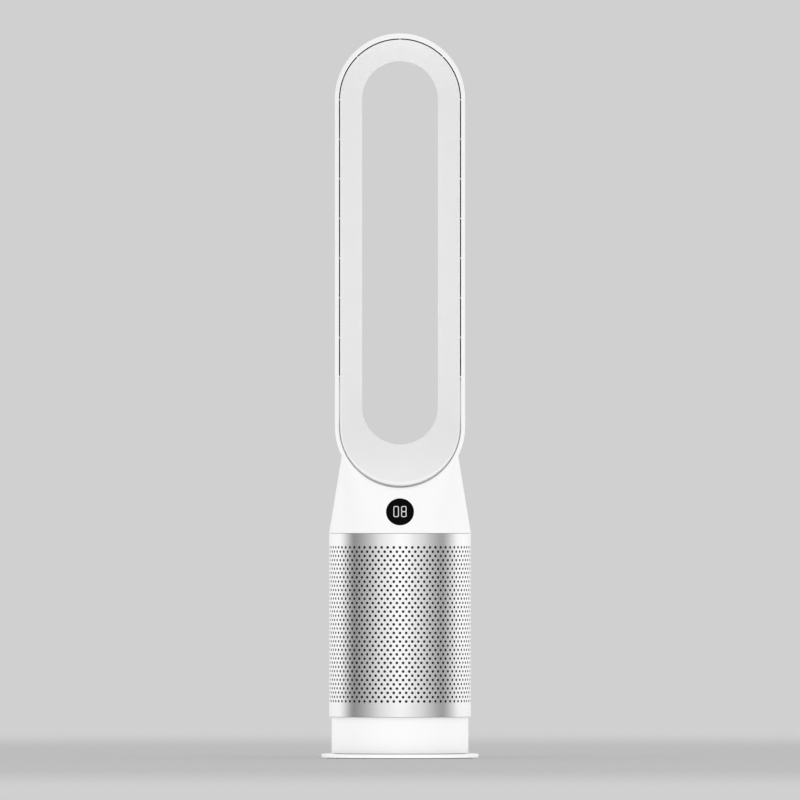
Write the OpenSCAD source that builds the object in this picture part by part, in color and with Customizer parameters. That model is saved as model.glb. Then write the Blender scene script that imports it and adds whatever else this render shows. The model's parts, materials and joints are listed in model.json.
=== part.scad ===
// Bladeless tower fan with a filter drum under an oblong air loop. All sizes are in millimetres.
// The front faces -Y and +Z is up. The origin is the centre of the underside, on the turning axis.

/* [Base] */
// Radius of the round base plate
base_r = 114; // [108:1:126]
// Thickness of the base plate
base_t = 5.4; // [4.6:0.1:8]
// How far the rubber ring stands out under the plate
foot_t = 0.8; // [0.5:0.1:1.5]

/* [Column] */
// How far the column stands in from the filter drum
column_inset = 3.5; // [2:0.1:6]
// Height of the turning column
column_h = 52.4; // [50:0.1:70]
// Wall of the column
column_wall = 2.4; // [1.8:0.1:4]
// Travel of the two buttons that let the shrouds go, and of the power button
button_travel = 3; // [2:0.1:3.5]

/* [Turntable] */
// Gear module of the turning drive
gear_module = 1.5; // [1.2:0.05:1.6]
// Teeth of the fixed sun gear
sun_teeth = 60; // [48:4:60]
// Teeth of the motor's pinion
pinion_teeth = 15; // [12:1:18]

/* [Filter drum] */
// Outer radius of the perforated shrouds
shroud_r = 102.7; // [100:0.1:108]
// Height of the perforated shrouds
shroud_h = 265.6; // [240:0.1:300]
// Thickness of the shroud's sheet
shroud_wall = 1.2; // [0.8:0.1:2]
// Diameter of one hole in the sheet
hole_d = 3.8; // [2.5:0.1:4.6]
// Height between two rows of holes
hole_pitch = 7.4; // [6.8:0.1:12]
// Plain band above and below the holes
plain_band = 20; // [14:0.5:30]
// Radial depth of the pleated filter
pleat_depth = 17; // [10:0.5:19]
// Thickness of the carbon filter
carbon_t = 11; // [6:0.5:14]

/* [Fan] */
// Height of the fan's inlet above the floor of the drum
fan_rise = 134; // [100:1:150]
// Number of blades on the impeller
blade_count = 9; // [7:1:13]
// Number of straightening vanes above it
vane_count = 11; // [7:1:15]

/* [Neck] */
// Height of the neck, where the round drum turns into the oblong loop
neck_h = 112; // [95:1:140]
// Wall of the neck
neck_wall = 2.5; // [2:0.1:4]
// Diameter of the round display
display_d = 40.4; // [32:0.2:42]
// Height of the display's centre above the drum
display_rise = 31; // [27:0.5:40]

/* [Air loop] */
// Outer radius of the loop's round ends
loop_r = 94.3; // [90:0.1:98]
// Length of the loop's straight legs
loop_leg = 475.5; // [380:0.5:520]
// Depth of the loop from front to back
loop_depth = 120; // [100:1:135]
// Wall of the loop
loop_wall = 2.3; // [1.8:0.1:3]
// Radius of the hole's round ends
hole_r = 55; // [48:0.5:60]
// Width of the rim outside the air slot
rim_w = 5.8; // [4.5:0.1:8]
// Width of the air slot
slot_w = 1.6; // [1.2:0.1:2.4]

/* [Hidden] */

// Smoothness and shared clearances
round_fn = 144;
small_fn = 48;
overrun = 1;
skim = 0.05;
fit_gap = 0.6;
run_gap = 0.3;
shaft_gap = 0.05;
seam = 0.6;

// Screws
screw_r = 1.9;
screw_head_r = 3.5;
screw_head_t = 2;
screw_count = 4;

// Levels of the base and the column
base_top = foot_t + base_t;
base_round = 1.8;
turn_gap = 0.8;
column_r = shroud_r - column_inset;
column_in = column_r - column_wall;
column_z = base_top + turn_gap;
column_top = column_z + column_h;

// Parts that stand still on the base plate
foot_inset = 8;
foot_w = 10;
foot_out = base_r - foot_inset;
foot_in = foot_out - foot_w;
foot_sunk = 0.8;
ballast_t = 3;
ballast_inset = 7;
ballast_out = column_in - ballast_inset;
post_r = 18;
post_flange_r = 24;
sun_t = 8;
washer_t = 1.5;
washer_out = 40;
cap_t = 3;
gland_w = 14;
gland_gap = 0.4;
gland_l = foot_inset - gland_gap;
gland_bore_r = 2;
screw_edge = 10;
screw_ring_r = ballast_out - screw_edge;

// The turntable, its motor and its pinion
sun_z = base_top + ballast_t;
turn_z = sun_z + sun_t + washer_t + run_gap;
turn_t = 4;
bush_wall = 6;
bush_h = 20;
turn_r = column_in - fit_gap;
bush_top = turn_z + bush_h;
sun_r = gear_module * sun_teeth / 2;
pinion_r = gear_module * pinion_teeth / 2;
gear_centre = sun_r + pinion_r;
pinion_phase = 90 - 180 / pinion_teeth;
tooth_root_share = 0.3;
tooth_tip_share = 0.12;
tooth_depth_share = 1.25;
pinion_shaft_r = 2.5;
pinion_shaft_up = 9;
motor_r = 20;
motor_h = 20;
board_l = 66;
board_w = 34;
board_t = 1.6;
board_y = 56;
board_rise = 5;
board_leg_r = 3;
board_leg_inset = 5;

// Push buttons on the column
button_rise = 34;
button_z = column_z + button_rise;
release_r = 8;
power_r = 6;
button_flange = 1.6;
button_flange_t = 3;
spring_wall = 1;
spring_r = 4;
post_t = 2.4;
spring_share = 3;
spring_l = spring_share * button_travel;
button_sunk = 4.7;
button_back = column_in - button_sunk;

// The skirt's inner flange, which the drum is screwed to
flange_t = 3.4;
flange_w = 13;
column_screw_r = column_in - flange_w / 2;
column_screw_l = 5;

// Radii of the filter drum, from the shroud inwards
shroud_z = column_top + seam;
shroud_top = shroud_z + shroud_h;
shroud_in = shroud_r - shroud_wall;
drum_r = shroud_in - fit_gap;
frame_out = drum_r;
frame_t = 3;
media_gap = 2;
pleat_inset = 2;
pleat_out = frame_out - pleat_inset;
pleat_in = pleat_out - pleat_depth;
carbon_out = pleat_in - media_gap;
carbon_in = carbon_out - carbon_t;
cage_out = carbon_in - media_gap;
cage_wall = 3;
cage_in = cage_out - cage_wall;
floor_t = 6;
floor_top = column_top + floor_t;
ring_t = 8;
neck_z = shroud_top + seam;
cage_top = neck_z - ring_t;
rail_t = 4;
half_gap = rail_t / 2 + fit_gap;
end_gap = 0.5;
frame_low = floor_top + end_gap;
frame_high = cage_top - end_gap;
pleat_count = 60;
pleat_t = 1.6;
window_count = 12;
window_rows = 3;
window_share = 0.62;
hole_step = 6;

// The fan unit
isolator_t = 3;
bucket_r = cage_in - isolator_t;
bucket_wall = 2;
inlet_r = 38;
fan_z = column_top + fan_rise;
inlet_drop = 6;
bucket_z = fan_z + inlet_drop;
bell_h = 26;
bucket_h = 100;
bucket_top = bucket_z + bucket_h;
grille_t = 3;
grille_ring_w = 1.6;
grille_bars = 8;
impeller_rise = 5;
impeller_z = bucket_z + impeller_rise;
impeller_h = 42;
tip_gap = 1;
tip_r = bucket_r - bucket_wall - tip_gap;
hub_low_r = 13;
hub_high_r = 40;
blade_t = 1.6;
blade_sweep = 42;
blade_root = 1;
shaft_r = 2.5;
motor_core_r = 36;
hub_gap = 3;
motor_core_z = impeller_z + impeller_h + hub_gap;
motor_core_h = 38;
bearing_r = 8;
bearing_t = 5;
core_wall = 2;
vane_t = 1.6;
vane_h = 24;
vane_lean = 24;
isolator_h = 8;
duct_flare = 6;
duct_top_r = bucket_r + duct_flare;
duct_rise = 30;

// The neck and the loop's centre lines
neck_top = neck_z + neck_h;
arc_rise = 42;
flare_h = 109;
loop_low_z = neck_top + arc_rise;
loop_high_z = loop_low_z + loop_leg;
half_loop = loop_depth / 2;
flare_top = neck_top + flare_h;
flare_bend = (shroud_r - half_loop) / (flare_h * (flare_h + 2 * neck_h));
slot_out = loop_r - rim_w;
slot_in = slot_out - slot_w;
slot_drop = 1.6;
slot_high_z = loop_high_z - slot_drop;
hole_raise = 29.3;
hole_low_z = loop_low_z + hole_raise;
rim_depth = 12;
rear_y = 10;
throat_y = 36;
throat_bend_y = 22;
rear_r = (loop_r + hole_r) / 2;
rear_low_z = neck_top + rear_r;
face_wall = 2.2;
face_flange = 12;
lip_r = 1.5;
groove_growth = 4.5;
bevel_w = 3.4;
bevel_d = 1.6;
bevel_start_share = 0.1;
bevel_over_share = 0.4;
groove_low_z = loop_low_z - slot_in;
gasket_t = 0.8;
arc_steps = 30;
flare_steps = 3;
rim_steps = 4;
rear_steps = 5;
neck_steps = 14;

// The air slot's spacers and its closed stretch
spacer_pitch = 57.4;
spacer_count = 7;
spacer_t = 1.5;
spacer_depth = 7;
spacer_inset = 0.6;
slip = 0.05;
slot_end_z = slot_high_z - spacer_count * spacer_pitch;
seal_inset = 3;
seal_depth = 6;

// The display
display_z = neck_z + display_rise;
neck_slope = (half_depth(neck_z) - half_depth(neck_top)) / neck_h;
display_tilt = atan(neck_slope);
display_y = -half_depth(display_z);
window_t = 1.5;
window_sunk = 0.3;
window_lip = 3;
digit_h = 17.3;
digit_w = 8.9;
digit_gap = 2.9;
digit_stroke = 1.7;
digit_t = 0.2;
lamp_board = 30;
lamp_board_gap = 5;
lamp_leg_r = 2;

// Points along an arc of an ellipse
function oval(cx, cy, rx, ry, a0, a1, n) =
  [for (k = [0:n]) let (a = a0 + (a1 - a0) * k / n) [cx + rx * cos(a), cy + ry * sin(a)]];

// A list in the other order
function backwards(list) = [for (k = [len(list) - 1:-1:0]) list[k]];

// Half the housing's depth at a height: level on the legs, flaring down to the round drum
function half_depth(z) =
  z >= flare_top ? half_loop
  : z >= neck_top ? half_loop + flare_bend * pow(flare_top - z, 2)
  : half_loop + flare_bend * pow(flare_h, 2) + 2 * flare_bend * flare_h * (neck_top - z);

// How far down the groove round the bottom of the loop a height lies, from 0 at the neck's top to 1
function groove_share(z) = max(0, min(1, (neck_top - z) / (neck_top - groove_low_z)));

// One corner of the loop's wall, as [radius, y, upper centre, lower centre, growth out, growth back]
function rim_point(a, inset) = [
  slot_out + (rim_w - inset) * cos(a), rim_depth - half_loop + (rim_depth - inset) * sin(a),
  slot_high_z + slot_drop * cos(a), loop_low_z, 0, 0];
function rear_point(a, inset) = [
  rear_r + (loop_r - rear_r - inset) * cos(a), rear_y + (half_loop - rear_y - inset) * sin(a),
  loop_high_z, rear_low_z + (loop_low_z - rear_low_z) * cos(a), 0, 0];
function throat_point(a, inset) = [
  rear_r + (rear_r - hole_r - inset) * cos(a), throat_y + (half_loop - throat_y - inset) * sin(a),
  loop_high_z, rear_low_z - (hole_low_z - rear_low_z) * cos(a), 0, 0];

// Wall of the shell: round the front rim, back along the side, over the rear edge and in to the throat
function shell_side(inset) = concat(
  [for (k = [0:rim_steps]) rim_point(270 + 90 * k / rim_steps, inset)],
  [for (k = [0:rear_steps]) rear_point(90 * k / rear_steps, inset)],
  [for (k = [1:rim_steps]) throat_point(90 + 90 * k / rim_steps, inset)]);
function shell_profile() = concat(shell_side(0), backwards(shell_side(loop_wall)));

// Point of the front face at a radius, with its arc centres moving from the slot's to the hole's
function face_point(r, y, out = 0, back = 0) =
  let (share = (slot_in - r) / (slot_in - hole_r))
  [r, y, slot_high_z + slot_drop * share, loop_low_z + hole_raise * share, out, back];
function face_profile() = concat(
  [face_point(slot_in, face_flange - half_loop)],
  [for (k = [0:rim_steps]) let (a = 90 * k / rim_steps)
    face_point(slot_in - lip_r * (1 - cos(a)), lip_r * (1 - sin(a)) - half_loop,
      groove_growth * (cos(a) - 1), groove_growth * (1 - sin(a)))],
  [face_point(hole_r + face_wall / 2, throat_bend_y - face_wall * 2),
   face_point(hole_r, throat_bend_y + face_wall),
   face_point(hole_r, throat_y - gasket_t),
   face_point(hole_r + face_wall, throat_y - gasket_t),
   face_point(hole_r + face_wall, throat_bend_y + face_wall),
   face_point(slot_in - face_wall, lip_r + groove_growth + 2 * face_wall - half_loop),
   face_point(slot_in - face_wall, face_flange - half_loop)]);

// A strip between two radii, from a depth behind the front to another
function strip_profile(r0, r1, y0, y1, low_z, high_z) =
  [for (p = [[r0, y0], [r1, y0], [r1, y1], [r0, y1]]) [p[0], p[1], high_z, low_z, 0, 0]];

// Stations round the oblong, as [angle, upper end?, height that a leg's share runs to, share]
function arc_stations(a0, upper) = [for (k = [0:arc_steps]) [a0 + 180 * k / arc_steps, upper, 0, 0]];
function leg_stations(angle, goal, shares) = [for (s = shares) [angle, false, goal, s]];
flare_shares = [for (k = [1:flare_steps]) k / flare_steps];
loop_stations = concat(
  arc_stations(0, true), leg_stations(180, flare_top, backwards(flare_shares)),
  arc_stations(180, false), leg_stations(0, flare_top, flare_shares));
seal_stations = concat(
  leg_stations(180, slot_end_z, [1]), arc_stations(180, false), leg_stations(0, slot_end_z, [1]));

function station_z(centre, r, s) = centre + r * sin(s[0]) + s[3] * (s[2] - centre);
function loop_point(p, s) =
  let (centre = s[1] ? p[2] : p[3],
    growth = groove_share(station_z(centre, p[0], s)),
    r = p[0] + growth * p[4],
    z = station_z(centre, r, s))
  [r * cos(s[0]), (p[1] + growth * p[5]) * half_depth(z) / half_loop, z];

// Sweeps a wall's outline round the oblong, closed on itself or capped at both ends
module loop_sweep(profile, stations, closed) {
  m = len(profile);
  n = len(stations);
  points = [for (s = stations) for (p = profile) loop_point(p, s)];
  sides = [for (i = [0:n - (closed ? 1 : 2)]) for (j = [0:m - 1]) let (
    a = i * m + j, b = i * m + (j + 1) % m, c = (i + 1) % n * m + (j + 1) % m, d = (i + 1) % n * m + j)
    for (f = [[a, b, c], [a, c, d]]) f];
  caps = closed ? [] : [[for (j = [m - 1:-1:0]) j], [for (j = [0:m - 1]) (n - 1) * m + j]];
  polyhedron(points, concat(sides, caps), convexity = 10);
}

// Outline of the neck's top, which is the loop's own section at that height
function outline_point(p) =
  [sqrt(max(0, pow(p[0], 2) - pow(p[3] - neck_top, 2))), p[1] * half_depth(neck_top) / half_loop];
function neck_side() = concat(
  [for (k = [0:neck_steps]) outline_point(rim_point(270 + 90 * k / neck_steps, 0))],
  [for (k = [0:neck_steps]) outline_point(rear_point(90 * k / neck_steps, 0))]);
function neck_outline() = concat(neck_side(), [for (p = backwards(neck_side())) [-p[0], p[1]]]);

// The neck's body, drawn in by an inset and made longer at both ends by an overrun
module neck_form(inset, longer) {
  top_half = outline_point(rear_point(0, 0))[0];
  hull() {
    translate([0, 0, neck_z - longer]) linear_extrude(skim) circle(shroud_r - inset, $fn = round_fn / 2);
    translate([0, 0, neck_top + longer - skim]) linear_extrude(skim)
      scale([1 - inset / top_half, 1 - inset / half_depth(neck_top)]) polygon(neck_outline());
  }
}

// Plain helpers
module ring(r_out, r_in, h, fn = round_fn) {
  difference() {
    cylinder(r = r_out, h = h, $fn = fn);
    translate([0, 0, -overrun]) cylinder(r = r_in, h = h + 2 * overrun, $fn = fn);
  }
}
module around(count, r, first = 0) {
  for (k = [0:count - 1]) rotate([0, 0, first + 360 * k / count]) translate([r, 0, 0]) children();
}
module screw(length) {
  cylinder(r = screw_head_r, h = screw_head_t, $fn = small_fn);
  translate([0, 0, -length]) cylinder(r = screw_r, h = length + skim, $fn = small_fn);
}
module screw_hole(length, head) {
  translate([0, 0, -length]) cylinder(r = screw_r + slip, h = length + head, $fn = small_fn);
  if (head > 0) cylinder(r = screw_head_r + slip, h = screw_head_t + head, $fn = small_fn);
}
module gear(teeth, thickness) {
  pitch_r = gear_module * teeth / 2;
  root_r = pitch_r - tooth_depth_share * gear_module;
  tip_r = pitch_r + gear_module;
  step = 360 / teeth;
  linear_extrude(thickness) polygon([for (k = [0:teeth - 1]) for (p = [
    [root_r, -tooth_root_share], [tip_r, -tooth_tip_share],
    [tip_r, tooth_tip_share], [root_r, tooth_root_share]])
    p[0] * [cos(step * (k + p[1])), sin(step * (k + p[1]))]]);
}

// The base, which stands still
module base_plate() {
  color("white")
  difference() {
    rotate_extrude($fn = round_fn) polygon(concat(
      [[0, foot_t], [base_r - base_round / 2, foot_t]],
      oval(base_r - base_round, base_top - base_round, base_round, base_round, 0, 90, 5),
      [[0, base_top]]));
    translate([0, 0, foot_t]) ring_cut();
    translate([-gland_w / 2, base_r - gland_l, 0]) cube([gland_w, gland_l + overrun, base_top + overrun]);
    translate([0, 0, sun_z]) around(screw_count, screw_ring_r, 45) screw_hole(ballast_t + base_t / 2, 0);
  }
}
module ring_cut() {
  difference() {
    translate([0, 0, -overrun]) cylinder(r = foot_out, h = foot_sunk + overrun, $fn = round_fn);
    translate([0, 0, -2 * overrun]) cylinder(r = foot_in, h = foot_sunk + 3 * overrun, $fn = round_fn);
  }
}
module foot_ring() {
  color("dimgray") ring(foot_out, foot_in, foot_t + foot_sunk);
}
module ballast_plate() {
  color("darkgray")
  translate([0, 0, base_top])
  difference() {
    ring(ballast_out, post_flange_r + fit_gap, ballast_t);
    translate([0, 0, ballast_t]) around(screw_count, screw_ring_r, 45) screw_hole(ballast_t + overrun, 0);
  }
}
module base_screws() {
  color("silver")
  translate([0, 0, sun_z]) around(screw_count, screw_ring_r, 45) screw(ballast_t + base_t / 2);
}
module pivot_post() {
  color("silver")
  translate([0, 0, base_top]) {
    cylinder(r = post_flange_r, h = ballast_t, $fn = round_fn);
    cylinder(r = post_r, h = bush_top + run_gap - base_top, $fn = round_fn);
  }
}
module sun_gear() {
  color("ivory")
  translate([0, 0, sun_z])
  difference() {
    gear(sun_teeth, sun_t);
    translate([0, 0, -overrun]) cylinder(r = post_r + slip, h = sun_t + 2 * overrun, $fn = round_fn);
  }
}
module glide_washer() {
  color("wheat")
  translate([0, 0, sun_z + sun_t]) ring(washer_out, post_r + fit_gap, washer_t);
}
module post_cap() {
  color("silver")
  translate([0, 0, bush_top + run_gap]) cylinder(r = post_r + bush_wall, h = cap_t, $fn = round_fn);
}
module cord_gland() {
  color("dimgray")
  translate([0, base_r - gland_l, foot_t])
  difference() {
    translate([-gland_w / 2 + slip, slip, 0]) cube([gland_w - 2 * slip, gland_l - slip, base_t]);
    translate([0, -overrun, base_t / 2]) rotate([-90, 0, 0])
      cylinder(r = gland_bore_r, h = gland_l + 2 * overrun, $fn = small_fn);
  }
}

// The turning column
module button_window(angle, r) {
  rotate([0, 0, angle]) translate([column_in - overrun, 0, button_z]) rotate([0, 90, 0])
    cylinder(r = r + run_gap, h = column_wall + 3 * overrun, $fn = small_fn);
}
module column_skirt() {
  color("white")
  difference() {
    union() {
      translate([0, 0, column_z]) ring(column_r, column_in, column_h);
      translate([0, 0, column_top - flange_t]) ring(column_in + skim, column_in - flange_w, flange_t);
    }
    button_window(0, release_r);
    button_window(180, release_r);
    button_window(90, power_r);
    translate([0, 0, column_top]) around(screw_count, column_screw_r, 45)
      screw_hole(flange_t + overrun, overrun);
  }
}
module turntable() {
  color("gainsboro")
  difference() {
    union() {
      translate([0, 0, turn_z]) cylinder(r = turn_r, h = turn_t, $fn = round_fn);
      translate([0, 0, turn_z]) cylinder(r = post_r + bush_wall, h = bush_h, $fn = round_fn);
      for (a = [0, 90, 180]) rotate([0, 0, a]) spring_post();
      for (x = [-1, 1]) for (y = [-1, 1])
        translate([x * (board_l / 2 - board_leg_inset), board_y + y * (board_w / 2 - board_leg_inset),
          turn_z]) cylinder(r = board_leg_r, h = turn_t + board_rise, $fn = small_fn);
    }
    translate([0, 0, turn_z - overrun])
      cylinder(r = post_r + shaft_gap, h = bush_h + 2 * overrun, $fn = round_fn);
    translate([0, -gear_centre, turn_z - overrun])
      cylinder(r = pinion_shaft_r + run_gap, h = turn_t + 2 * overrun, $fn = small_fn);
  }
}
module spring_post() {
  translate([button_back - spring_l - post_t, -release_r, turn_z])
    cube([post_t, 2 * release_r, button_z + release_r - turn_z]);
}
module oscillation_motor() {
  color("dimgray")
  translate([0, -gear_centre, turn_z + turn_t])
  difference() {
    cylinder(r = motor_r, h = motor_h, $fn = small_fn);
    translate([0, 0, -overrun])
      cylinder(r = pinion_shaft_r + shaft_gap, h = pinion_shaft_up + overrun, $fn = small_fn);
  }
}
module pinion() {
  color("ivory")
  translate([0, -gear_centre, sun_z + run_gap]) {
    rotate([0, 0, pinion_phase]) gear(pinion_teeth, sun_t - run_gap);
    cylinder(r = pinion_shaft_r, h = turn_z + turn_t + pinion_shaft_up - sun_z - 2 * run_gap,
      $fn = small_fn);
  }
}
module control_board() {
  color("seagreen")
  translate([-board_l / 2, board_y - board_w / 2, turn_z + turn_t + board_rise])
    cube([board_l, board_w, board_t]);
}
module push_button(angle, r) {
  rotate([0, 0, angle])
  intersection() {
    union() {
      translate([button_back, 0, button_z]) rotate([0, 90, 0])
        cylinder(r = r + button_flange, h = button_flange_t, $fn = small_fn);
      translate([button_back, 0, button_z]) rotate([0, 90, 0])
        cylinder(r = r, h = column_r + overrun - button_back, $fn = small_fn);
    }
    cylinder(r = column_r, h = column_top, $fn = round_fn);
  }
}
module button_spring(angle) {
  rotate([0, 0, angle]) translate([button_back - spring_l, 0, button_z]) rotate([0, 90, 0])
    ring(spring_r + spring_wall, spring_r, spring_l, small_fn);
}
module left_release_button() { color("white") push_button(180, release_r); }
module left_button_spring() { color("silver") button_spring(180); }
module right_release_button() { color("white") push_button(0, release_r); }
module right_button_spring() { color("silver") button_spring(0); }
module power_button() { color("white") push_button(90, power_r); }
module power_button_spring() { color("silver") button_spring(90); }
module column_screws() {
  color("silver")
  translate([0, 0, floor_top - screw_head_t]) around(screw_count, column_screw_r, 45)
    screw(floor_t - screw_head_t + column_screw_l - screw_head_t);
}

// The filter drum
module drum_floor() {
  color("gainsboro")
  difference() {
    translate([0, 0, column_top]) cylinder(r = drum_r, h = floor_t, $fn = round_fn);
    translate([0, 0, floor_top - screw_head_t]) around(screw_count, column_screw_r, 45)
      screw_hole(floor_t + overrun, overrun);
  }
}
module drum_top_ring() {
  color("gainsboro")
  translate([0, 0, cage_top]) ring(drum_r, cage_in, ring_t);
}
module filter_cage() {
  cage_h = cage_top - floor_top;
  row_h = cage_h / window_rows;
  window_h = row_h * window_share;
  window_w = 2 * cage_in * sin(180 / window_count) * window_share;
  color("gainsboro")
  translate([0, 0, floor_top]) {
    difference() {
      ring(cage_out, cage_in, cage_h);
      for (row = [0:window_rows - 1])
        translate([0, 0, (row + (1 - window_share) / 2) * row_h])
          around(window_count, cage_in, 180 / window_count)
            translate([-cage_wall, -window_w / 2, 0]) cube([3 * cage_wall, window_w, window_h]);
    }
    for (side = [0, 180]) rotate([0, 0, side])
      translate([cage_in + cage_wall / 2, -rail_t / 2, 0])
        cube([drum_r - cage_in - cage_wall / 2, rail_t, cage_h]);
  }
}

// Half of something round, kept on the front side and off the middle by half the rail
module front_half(r, z0, z1) {
  intersection() {
    children();
    translate([-r - overrun, -r - overrun, z0 - overrun])
      cube([2 * (r + overrun), r + overrun - half_gap, z1 - z0 + 2 * overrun]);
  }
}
// The sheet is bent in flat strips, so that each hole lies in the middle of one
module shroud_half() {
  edge = asin(half_gap / shroud_r);
  strip = hole_step / 2;
  strips = floor((90 - edge) / strip - 0.5);
  bends = concat([180 + edge], [for (k = [-strips:strips - 1]) 270 + (k + 0.5) * strip], [360 - edge]);
  rows = floor((shroud_h - 2 * plain_band) / hole_pitch);
  first_z = (shroud_h - rows * hole_pitch) / 2;
  columns = floor((180 - 2 * edge) / hole_step) - 1;
  translate([0, 0, shroud_z])
  difference() {
    linear_extrude(shroud_h)
      polygon(concat([for (a = bends) shroud_r * [cos(a), sin(a)]],
        [for (a = backwards(bends)) shroud_in * [cos(a), sin(a)]]));
    for (row = [0:rows]) for (k = [0:columns - row % 2])
      rotate([0, 0, 270 + (k - (columns - row % 2) / 2) * hole_step])
        translate([shroud_in - overrun, 0, first_z + row * hole_pitch]) rotate([0, 90, 0])
          cylinder(d = hole_d, h = shroud_wall + 2 * overrun, $fn = small_fn);
  }
}
module filter_frame_half() {
  front_half(frame_out, frame_low, frame_high) {
    union() {
      translate([0, 0, frame_low]) ring(frame_out, pleat_in, frame_t);
      translate([0, 0, frame_high - frame_t]) ring(frame_out, pleat_in, frame_t);
      for (side = [0, 1]) mirror([side, 0, 0])
        translate([pleat_in, -half_gap - frame_t, frame_low])
          cube([frame_out - pleat_in - fit_gap, frame_t + half_gap, frame_high - frame_low]);
    }
  }
}
module pleats_half() {
  edge = asin((half_gap + frame_t + pleat_t) / pleat_in);
  n = 2 * pleat_count;
  step = (180 - 2 * edge) / n;
  outer = [for (k = [0:n])
    let (a = 180 + edge + k * step, r = k % 2 == 0 ? pleat_in + pleat_t : pleat_out) r * [cos(a), sin(a)]];
  inner = [for (k = [n:-1:0])
    let (a = 180 + edge + k * step, r = k % 2 == 0 ? pleat_in : pleat_out - pleat_t) r * [cos(a), sin(a)]];
  translate([0, 0, frame_low + frame_t]) linear_extrude(frame_high - frame_low - 2 * frame_t)
    polygon(concat(outer, inner));
}
module carbon_half() {
  front_half(carbon_out, floor_top, cage_top)
    translate([0, 0, frame_low]) ring(carbon_out, carbon_in, frame_high - frame_low);
}
module front_shroud() { color("silver") shroud_half(); }
module front_filter_frame() { color("whitesmoke") filter_frame_half(); }
module front_hepa_pleats() { color("slategray") pleats_half(); }
module front_carbon_filter() { color("#2b2b2b") carbon_half(); }
module rear_shroud() { color("silver") rotate([0, 0, 180]) shroud_half(); }
module rear_filter_frame() { color("whitesmoke") rotate([0, 0, 180]) filter_frame_half(); }
module rear_hepa_pleats() { color("slategray") rotate([0, 0, 180]) pleats_half(); }
module rear_carbon_filter() { color("#2b2b2b") rotate([0, 0, 180]) carbon_half(); }

// The fan unit, hung in the cage by a rubber ring
module inlet_grille() {
  color("dimgray")
  translate([0, 0, bucket_z - grille_t]) {
    ring(inlet_r + bucket_wall, inlet_r - grille_ring_w, grille_t);
    for (share = [0.25, 0.5, 0.75])
      ring(inlet_r * share + grille_ring_w, inlet_r * share, grille_t, small_fn);
    around(grille_bars, 0) translate([inlet_r / 4, -grille_ring_w / 2, 0])
      cube([inlet_r * 3 / 4, grille_ring_w, grille_t]);
  }
}
module motor_bucket() {
  color("lightgray")
  translate([0, 0, bucket_z])
  rotate_extrude($fn = round_fn) polygon(concat(
    oval(inlet_r, bell_h, bucket_r - inlet_r, bell_h, 270, 360, 8),
    [[bucket_r, bucket_h], [bucket_r - bucket_wall, bucket_h]],
    oval(inlet_r, bell_h, bucket_r - bucket_wall - inlet_r, bell_h - bucket_wall, 360, 270, 8)));
}
module impeller() {
  bell = bell_h - bucket_wall - tip_gap;
  hub = oval(hub_low_r, impeller_h, hub_high_r - hub_low_r, impeller_h, 270, 360, 6);
  hub_in = oval(hub_low_r, impeller_h,
    hub_high_r - hub_low_r - blade_root, impeller_h - blade_root, 360, 270, 6);
  tip = oval(inlet_r, bell_h - (impeller_z - bucket_z), tip_r - inlet_r, bell, 295, 360, 6);
  color("#4a4d52")
  translate([0, 0, impeller_z])
  difference() {
    union() {
      rotate_extrude($fn = round_fn) polygon(concat([[0, 0]], hub, [[0, impeller_h]]));
      intersection() {
        rotate_extrude($fn = round_fn)
          polygon(concat(backwards(hub_in), [[tip_r, impeller_h]], backwards(tip)));
        for (k = [0:blade_count - 1]) rotate([0, 0, 360 * k / blade_count])
          linear_extrude(impeller_h) polygon(blade_outline());
      }
    }
    translate([0, 0, -overrun]) cylinder(r = shaft_r + slip, h = impeller_h + 2 * overrun, $fn = small_fn);
  }
}
function blade_outline() = let (n = 6, r0 = hub_low_r - 2 * blade_root, r1 = tip_r + overrun) concat(
  [for (k = [0:n]) let (r = r0 + (r1 - r0) * k / n, a = blade_sweep * k / n) r * [cos(a), sin(a)]],
  [for (k = [n:-1:0]) let (r = r0 + (r1 - r0) * k / n, a = blade_sweep * k / n + blade_t / r * 180 / PI)
    r * [cos(a), sin(a)]]);
module rotor_shaft() {
  color("silver")
  translate([0, 0, impeller_z])
    cylinder(r = shaft_r, h = motor_core_z + motor_core_h - bearing_t - impeller_z, $fn = small_fn);
}
module fan_motor() {
  color("#3a3d42")
  translate([0, 0, motor_core_z])
  difference() {
    rotate_extrude($fn = round_fn) polygon(concat(
      [[0, 0], [motor_core_r, 0]],
      oval(motor_core_r - bearing_t, motor_core_h - bearing_t, bearing_t, bearing_t, 0, 90, 5),
      [[0, motor_core_h]]));
    translate([0, 0, -overrun]) cylinder(r = bearing_r + slip, h = bearing_t + overrun, $fn = small_fn);
    cylinder(r = shaft_r + fit_gap, h = motor_core_h - bearing_t + shaft_gap, $fn = small_fn);
    translate([0, 0, motor_core_h - 3 * bearing_t])
      cylinder(r = bearing_r + slip, h = 2 * bearing_t + shaft_gap, $fn = small_fn);
  }
}
module motor_bearings() {
  color("silver") {
    translate([0, 0, motor_core_z]) ring(bearing_r, shaft_r + shaft_gap, bearing_t, small_fn);
    translate([0, 0, motor_core_z + motor_core_h - 3 * bearing_t])
      ring(bearing_r, shaft_r + shaft_gap, bearing_t, small_fn);
  }
}
module diffuser_vanes() {
  vane_in = motor_core_r + slip + core_wall / 2;
  vane_out = bucket_r - bucket_wall - fit_gap;
  color("gainsboro")
  translate([0, 0, motor_core_z]) {
    ring(motor_core_r + slip + core_wall, motor_core_r + slip, motor_core_h - bearing_t);
    around(vane_count, vane_in) translate([0, 0, vane_h / 2]) rotate([vane_lean, 0, 0])
      translate([0, -vane_t / 2, -vane_h / 2]) cube([vane_out - vane_in, vane_t, vane_h]);
  }
}
module isolator_ring() {
  color("dimgray")
  translate([0, 0, bucket_top - isolator_h]) ring(cage_in - slip, bucket_r + slip, isolator_h);
}
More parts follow.
